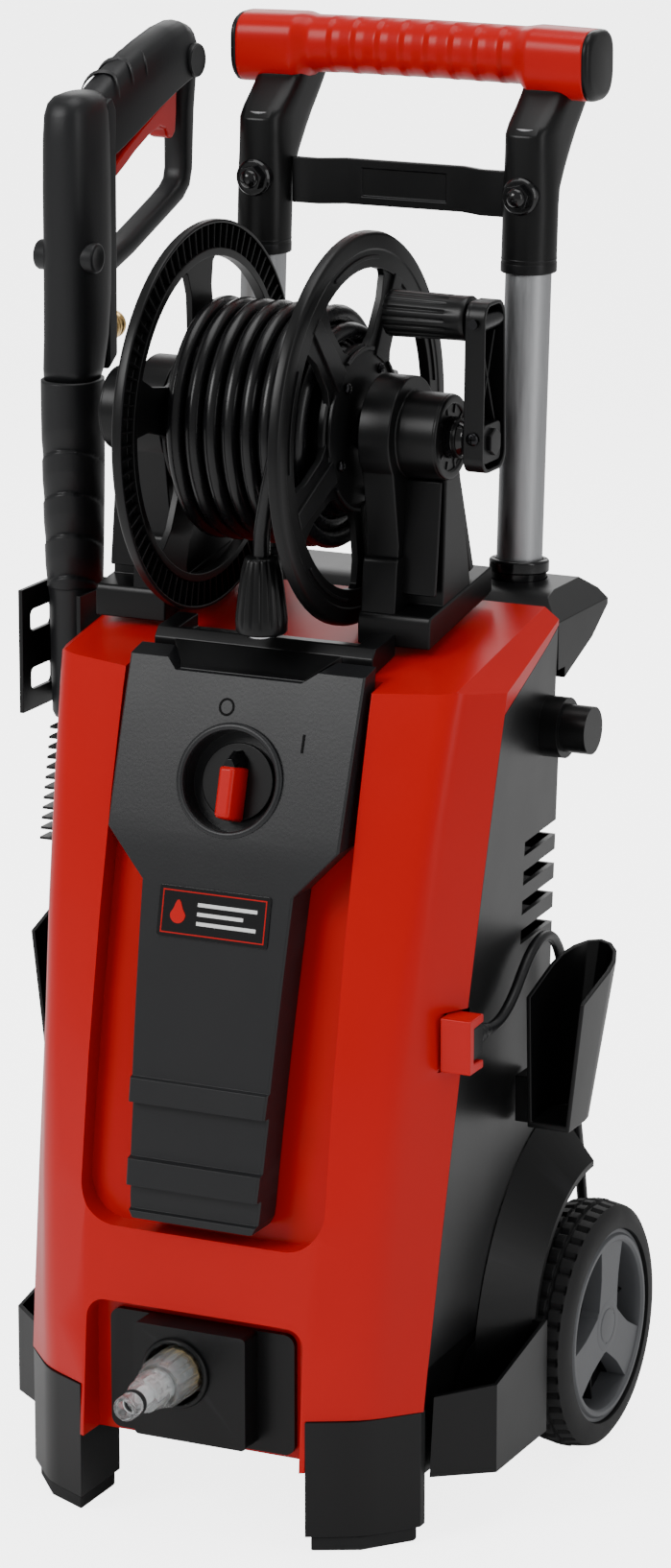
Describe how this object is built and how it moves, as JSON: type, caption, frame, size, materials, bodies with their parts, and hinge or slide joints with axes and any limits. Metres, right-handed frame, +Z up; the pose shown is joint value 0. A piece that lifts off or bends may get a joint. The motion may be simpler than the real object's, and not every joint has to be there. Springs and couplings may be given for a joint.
{
  "type": "pressure washer",
  "caption": "Upright electric pressure washer on wheels with a hose reel, telescopic handle, mode switch, water inlet and a stored gun and lance.",
  "frame": {"origin": "on the floor below the middle of the machine's bounding box, mains cord left out", "axes": "+X to the machine's right-hand side as seen from the front of the picture, +Y to the rear, +Z up"},
  "size_m": [0.3896, 0.5075, 0.8955],
  "materials": {
    "red_plastic": "glossy moulded plastic",
    "black_plastic": "satin black moulded plastic",
    "panel_plastic": "fine grained dark plastic",
    "grey_plastic": "grey moulded plastic",
    "tyre_rubber": "block tread tyre",
    "pad_rubber": "soft rubber",
    "tube_metal": "satin anodised tube",
    "steel": "bright steel",
    "brass": "turned brass",
    "clear_plastic": "clear moulded plastic",
    "hose_rubber": "smooth hose cover",
    "cord_rubber": "matt cable sheath",
    "pump_metal": "cast aluminium",
    "motor_paint": "dark painted steel"
  },
  "bodies": {
    "machine": {"front_cover": "red_plastic", "control_panel": "panel_plastic", "inlet_plate": "black_plastic", "inlet_fitting": "brass", "filter_body": "clear_plastic", "base_frame": "black_plastic", "axle": "steel", "front_feet": "black_plastic", "foot_pads": "pad_rubber", "side_cover_left": "black_plastic", "side_cover_right": "black_plastic", "side_tray_left": "black_plastic", "side_tray_right": "black_plastic", "rear_cover": "black_plastic", "back_frame": "black_plastic", "tube_collars": "black_plastic", "reel_tower_left": "black_plastic", "reel_tower_right": "black_plastic", "top_tray": "black_plastic", "side_cup_left": "black_plastic", "side_cup_right": "black_plastic", "lance_clip": "red_plastic", "cord_clip": "red_plastic", "cord_gland": "black_plastic", "hose_end": "hose_rubber", "hose_coupling": "black_plastic", "power_cord": "cord_rubber", "cord_coil": "cord_rubber", "mains_plug": "black_plastic", "motor": "motor_paint", "pump": "pump_metal", "switch_box": "grey_plastic"},
    "wheel_left": {"wheel_rim_left": "grey_plastic", "tyre_left": "tyre_rubber"},
    "wheel_right": {"wheel_rim_right": "grey_plastic", "tyre_right": "tyre_rubber"},
    "handle": {"handle_tubes": "tube_metal", "handle_frame": "black_plastic", "grip_shell": "red_plastic", "grip_caps": "black_plastic", "crossbar": "black_plastic", "handle_bolts": "steel"},
    "reel": {"reel_flange_left": "black_plastic", "reel_flange_right": "black_plastic", "reel_drum": "black_plastic", "reel_shaft": "steel", "hose_winding": "hose_rubber", "crank_arm": "black_plastic"},
    "crank_fold": {"crank_pin": "steel"},
    "crank_handle": {"crank_grip": "black_plastic"},
    "knob": {"switch_knob": "black_plastic", "switch_bar": "red_plastic"},
    "gun": {"gun_body": "black_plastic", "gun_fitting": "brass", "lance_grip": "black_plastic", "lance_tube": "steel"},
    "trigger": {"gun_trigger": "red_plastic"},
    "lock_button": {"gun_lock": "black_plastic"},
    "nozzle": {"lance_nozzle": "black_plastic"},
    "nut": {"union_nut": "black_plastic"}
  },
  "joints": [
    {"name": "wheel_left_spin", "type": "hinge", "parent": "machine", "child": "wheel_left", "pos_m": [-0.1565, 0.1, 0.08], "axis": [1, 0, 0], "continuous": true},
    {"name": "wheel_right_spin", "type": "hinge", "parent": "machine", "child": "wheel_right", "pos_m": [0.1565, 0.1, 0.08], "axis": [1, 0, 0], "continuous": true},
    {"name": "handle_slide", "type": "slide", "parent": "machine", "child": "handle", "axis": [0, 0.0589, 0.9983], "range_m": [-0.175, 0]},
    {"name": "reel_spin", "type": "hinge", "parent": "machine", "child": "reel", "pos_m": [0, 0.0182, 0.6664], "axis": [1, 0, 0], "range_deg": [-125, 140]},
    {"name": "crank_fold_hinge", "type": "hinge", "parent": "reel", "child": "crank_fold", "pos_m": [0.1185, 0.0182, 0.74], "axis": [0, 1, 0], "range_deg": [0, 180]},
    {"name": "crank_grip_spin", "type": "hinge", "parent": "crank_fold", "child": "crank_handle", "pos_m": [0.0825, 0.0182, 0.74], "axis": [1, 0, 0], "continuous": true},
    {"name": "mode_switch", "type": "hinge", "parent": "machine", "child": "knob", "pos_m": [0, -0.09166, 0.466], "axis": [0, -0.9613, 0.2756], "range_deg": [-65, 0]},
    {"name": "gun_lift", "type": "slide", "parent": "machine", "child": "gun", "axis": [0, 0, 1], "range_m": [0, 0.15]},
    {"name": "trigger_squeeze", "type": "hinge", "parent": "gun", "child": "trigger", "pos_m": [-0.169, 0.176, 0.862], "axis": [-1, 0, 0], "range_deg": [0, 10], "stiffness_Nm_per_rad": 2, "springref_deg": -8.59},
    {"name": "trigger_lock", "type": "slide", "parent": "gun", "child": "lock_button", "axis": [1, 0, 0], "range_m": [-0.004, 0]},
    {"name": "nozzle_turn", "type": "hinge", "parent": "gun", "child": "nozzle", "pos_m": [-0.169, 0.027, 0.29], "axis": [0, 0, 1], "range_deg": [-45, 45]},
    {"name": "union_nut_turn", "type": "hinge", "parent": "machine", "child": "nut", "pos_m": [-0.009, -0.16, 0.104], "axis": [0, 1, 0], "continuous": true}
  ]
}
